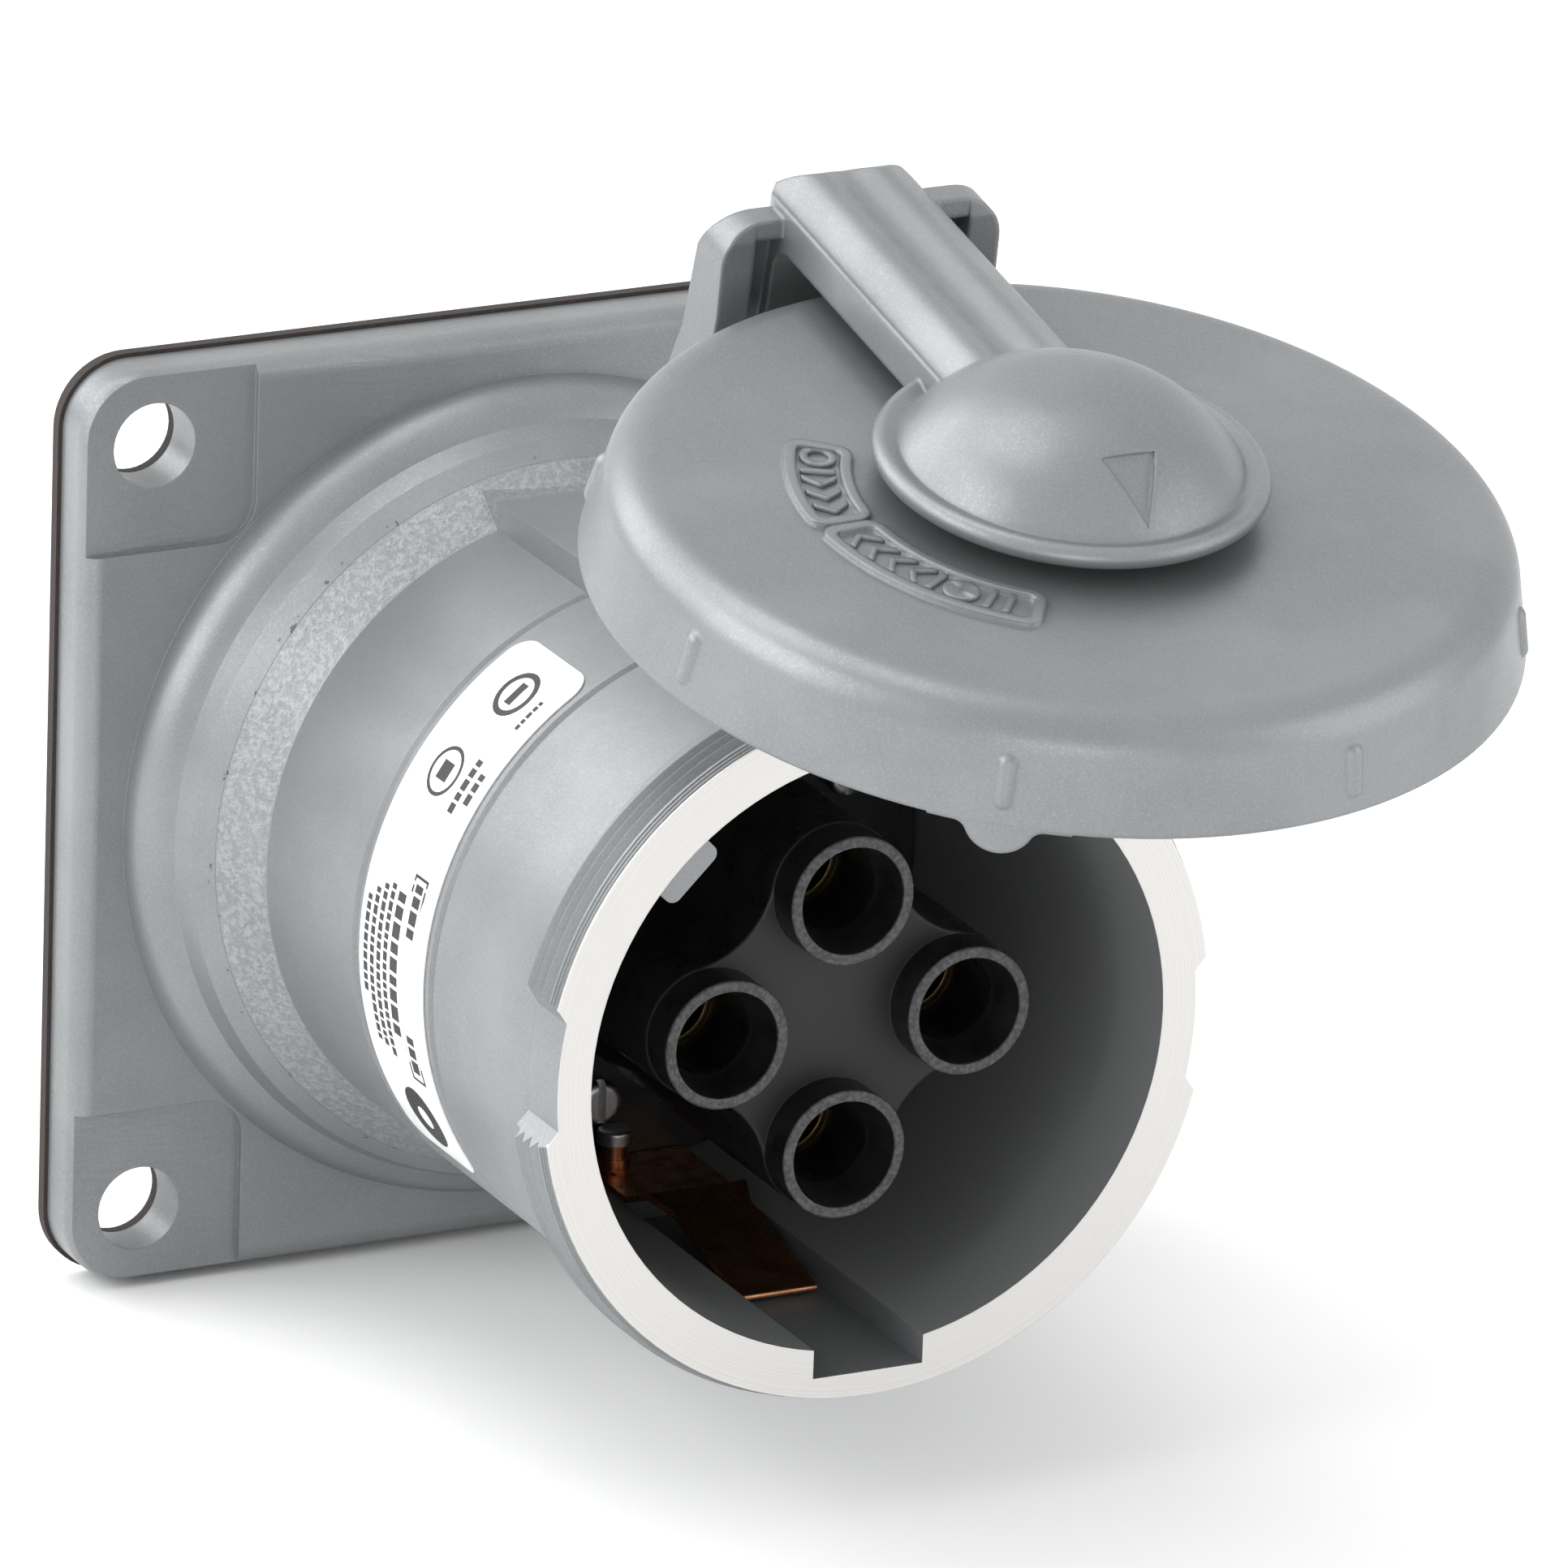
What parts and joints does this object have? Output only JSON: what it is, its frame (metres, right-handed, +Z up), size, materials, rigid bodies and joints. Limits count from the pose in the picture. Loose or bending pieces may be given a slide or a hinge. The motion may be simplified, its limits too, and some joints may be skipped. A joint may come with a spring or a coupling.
{
  "type": "panel power inlet with hinged cap",
  "caption": "Square-flanged metal inlet: a round barrel with pin sleeves inside and a swivelling cap on a hinged gooseneck arm.",
  "frame": {"origin": "centre of the flange's bolt pattern on the panel plane, on the barrel's axis", "axes": "-Y along the barrel towards the plug, +Z up towards the lid hinge, +X to the right seen from the front"},
  "size_m": [0.1144, 0.1948, 0.158],
  "materials": {
    "cast_paint": "satin metallic grey paint on cast aluminium",
    "phenolic": "black moulded insulator",
    "copper": "bare copper",
    "contact_brass": "bright brass contact",
    "steel": "zinc plated steel",
    "rubber": "dark moulded rubber",
    "label": "white printed sticker",
    "green_screw": "green ground screw"
  },
  "bodies": {
    "housing": {"mounting_flange": "cast_paint", "barrel": "cast_paint", "flange_gasket": "rubber", "insulator_front": "phenolic", "insulator_rear": "phenolic", "insulator_screws": "steel", "base_screws": "steel", "contact_top": "contact_brass", "contact_left": "contact_brass", "contact_right": "contact_brass", "contact_bottom": "contact_brass", "contact_spring_rings": "steel", "terminal_screws": "steel", "ground_spring": "copper", "ground_spring_rivet": "copper", "ground_lug": "copper", "ground_screw": "green_screw", "nameplate": "label"},
    "lid_arm": {"lid_arm": "cast_paint", "hinge_pin": "steel", "cap_stud": "steel", "stud_washer": "steel", "stud_nut": "steel"},
    "cap": {"cap": "cast_paint", "cap_gasket": "rubber", "gasket_retainer": "steel", "retainer_screws": "steel"}
  },
  "joints": [
    {"name": "lid_hinge", "type": "hinge", "parent": "housing", "child": "lid_arm", "pos_m": [0, -0.07847, 0.062], "axis": [-1, 0, 0], "range_deg": [-78.34, 35]},
    {"name": "cap_turn", "type": "hinge", "parent": "lid_arm", "child": "cap", "pos_m": [0, -0.14285, 0.06721], "axis": [0, -0.2021, 0.9794], "continuous": true}
  ]
}
